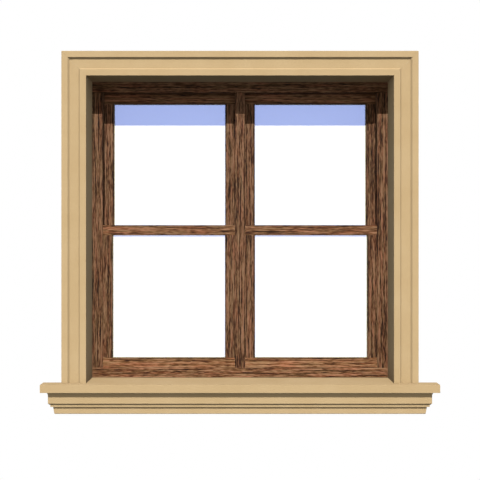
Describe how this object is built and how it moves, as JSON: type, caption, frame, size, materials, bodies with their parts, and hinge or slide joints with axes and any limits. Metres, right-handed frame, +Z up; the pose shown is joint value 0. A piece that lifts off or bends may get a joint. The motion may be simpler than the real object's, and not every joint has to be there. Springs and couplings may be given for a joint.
{
  "type": "window surround",
  "caption": "Moulded stone window surround with mitred architrave, deep reveal and stepped sill, around a dark timber window of vertically sliding glazed sashes beside a mullion.",
  "frame": {"origin": "centre of the sill's flat back face, where it bears against the wall's outer face", "axes": "+X to the right along the sill, +Y straight back into the wall, +Z up; the wall's outer face is the plane Y = 0"},
  "size_m": [1.544, 0.227, 1.4166],
  "materials": {
    "cast_stone": "matte",
    "dark_wood": "matte",
    "clear_glass": "gloss"
  },
  "bodies": {
    "surround": {"surround_head": "cast_stone", "surround_jamb_left": "cast_stone", "surround_jamb_right": "cast_stone", "surround_sill": "cast_stone", "frame_head": "dark_wood", "frame_sill": "dark_wood", "frame_jamb_left": "dark_wood", "frame_jamb_right": "dark_wood", "frame_mullion": "dark_wood"},
    "upper_left_sash": {"upper_left_sash_top_rail": "dark_wood", "upper_left_sash_meeting_rail": "dark_wood", "upper_left_sash_left_stile": "dark_wood", "upper_left_sash_right_stile": "dark_wood", "upper_left_sash_pane": "clear_glass"},
    "upper_right_sash": {"upper_right_sash_top_rail": "dark_wood", "upper_right_sash_meeting_rail": "dark_wood", "upper_right_sash_left_stile": "dark_wood", "upper_right_sash_right_stile": "dark_wood", "upper_right_sash_pane": "clear_glass"},
    "lower_left_sash": {"lower_left_sash_bottom_rail": "dark_wood", "lower_left_sash_meeting_rail": "dark_wood", "lower_left_sash_left_stile": "dark_wood", "lower_left_sash_right_stile": "dark_wood", "lower_left_sash_pane": "clear_glass"},
    "lower_right_sash": {"lower_right_sash_bottom_rail": "dark_wood", "lower_right_sash_meeting_rail": "dark_wood", "lower_right_sash_left_stile": "dark_wood", "lower_right_sash_right_stile": "dark_wood", "lower_right_sash_pane": "clear_glass"}
  },
  "joints": [
    {"name": "upper_left_sash_lowers", "type": "slide", "parent": "surround", "child": "upper_left_sash", "axis": [0, 0, -1], "range_m": [0, 0.537]},
    {"name": "upper_right_sash_lowers", "type": "slide", "parent": "surround", "child": "upper_right_sash", "axis": [0, 0, -1], "range_m": [0, 0.537]},
    {"name": "lower_left_sash_lifts", "type": "slide", "parent": "surround", "child": "lower_left_sash", "axis": [0, 0, 1], "range_m": [0, 0.537]},
    {"name": "lower_right_sash_lifts", "type": "slide", "parent": "surround", "child": "lower_right_sash", "axis": [0, 0, 1], "range_m": [0, 0.537]}
  ]
}
